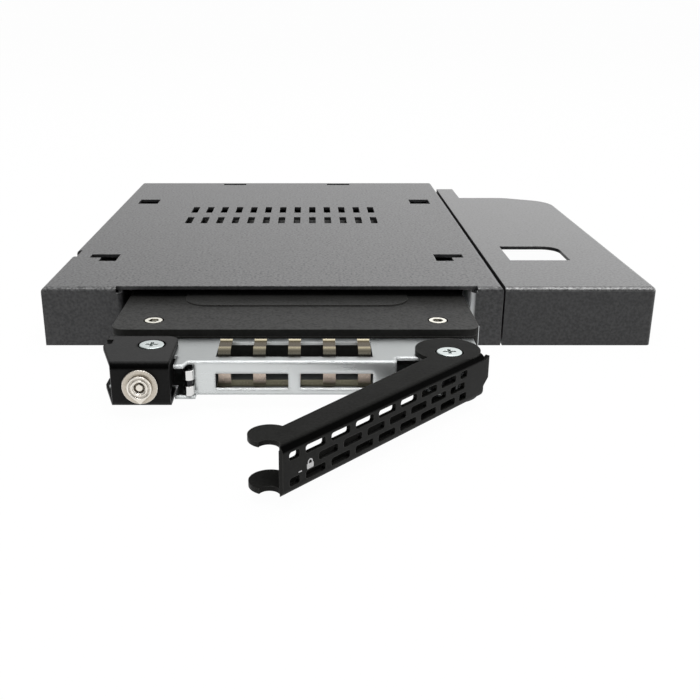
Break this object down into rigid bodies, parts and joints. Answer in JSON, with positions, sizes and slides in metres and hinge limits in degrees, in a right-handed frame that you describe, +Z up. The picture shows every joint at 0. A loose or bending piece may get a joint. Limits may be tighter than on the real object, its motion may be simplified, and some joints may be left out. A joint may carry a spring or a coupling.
{
  "type": "hard drive mobile rack",
  "caption": "Slim folded-steel rack that fills an optical bay; a tray with a 2.5-inch drive slides out at the front, with a swing lever and a key lock.",
  "frame": {"origin": "on the underside of the base pan, half way back in the housing, in the middle plane of the tray", "axes": "+X to the right seen from the front, +Y to the rear, +Z up"},
  "size_m": [0.128, 0.1952, 0.0127],
  "materials": {
    "housing_paint": "fine powder coat",
    "pan_zinc": "zinc plated",
    "tray_zinc": "zinc plated, satin",
    "spring_bronze": "nickel-flashed bronze",
    "black_paint": "satin black coat",
    "lock_nickel": "nickel plated",
    "screw_steel": "nickel plated",
    "board_laminate": "solder mask",
    "connector_plastic": "moulded",
    "drive_black": "fine matt coat"
  },
  "bodies": {
    "chassis": {"top_cover": "housing_paint", "base_pan": "housing_paint", "left_rail": "pan_zinc", "right_rail": "pan_zinc", "wing_cover": "housing_paint", "backplane_board": "board_laminate", "drive_socket": "connector_plastic", "host_connector": "connector_plastic", "board_screws": "screw_steel", "cover_screws": "screw_steel", "wing_screws": "screw_steel"},
    "tray": {"drive_tray": "tray_zinc", "finger_strip": "spring_bronze", "lock_bracket": "black_paint", "bracket_standoff": "pan_zinc", "bracket_screw": "screw_steel", "lock_barrel": "lock_nickel", "lock_nut": "lock_nickel", "latch_post": "lock_nickel", "pivot_bush": "pan_zinc", "pivot_screw": "screw_steel", "drive_base": "drive_black", "drive_lid": "drive_black", "drive_lid_screws": "screw_steel", "drive_board": "board_laminate", "drive_plug": "connector_plastic", "drive_side_screws": "screw_steel"},
    "lock_core": {"lock_plug": "lock_nickel", "lock_cam": "pan_zinc", "cam_screw": "screw_steel"},
    "lever_body": {"lever": "black_paint"}
  },
  "joints": [
    {"name": "tray_slide", "type": "slide", "parent": "chassis", "child": "tray", "axis": [0, -1, 0], "range_m": [-0.0354, 0.083]},
    {"name": "lever_swing", "type": "hinge", "parent": "tray", "child": "lever_body", "pos_m": [0.0274, -0.0933, 0.0061], "axis": [0, 0, 1], "range_deg": [-47, 13]},
    {"name": "key_turn", "type": "hinge", "parent": "tray", "child": "lock_core", "pos_m": [-0.0265, -0.099, 0.00585], "axis": [0, -1, 0], "range_deg": [0, 90]}
  ]
}
